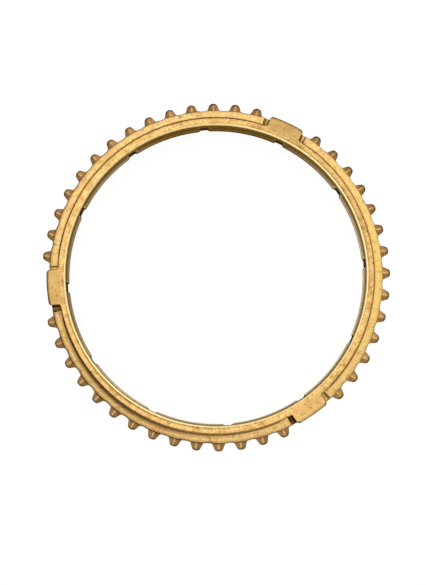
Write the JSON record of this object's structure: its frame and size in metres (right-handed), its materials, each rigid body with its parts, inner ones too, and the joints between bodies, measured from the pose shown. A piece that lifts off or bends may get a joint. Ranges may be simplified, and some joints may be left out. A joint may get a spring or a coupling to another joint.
{
  "type": "synchronizer ring",
  "caption": "Forged brass blocker ring for a gearbox synchronizer: roofed outer teeth, driving lugs level with its collar, and a tapered friction bore with oil grooves.",
  "frame": {"origin": "on the ring's axis, at the flat face on the gear side", "axes": "+Z along the ring's axis, from the gear side to the hub side; -X through the middle of one lug"},
  "size_m": [0.1216, 0.1226, 0.011],
  "materials": {
    "forged_brass": "forged and tumbled brass, turned bright on the collar's top and the rim, dark in the oil grooves"
  },
  "bodies": {
    "root": {"synchronizer_ring": "forged_brass"}
  },
  "joints": []
}
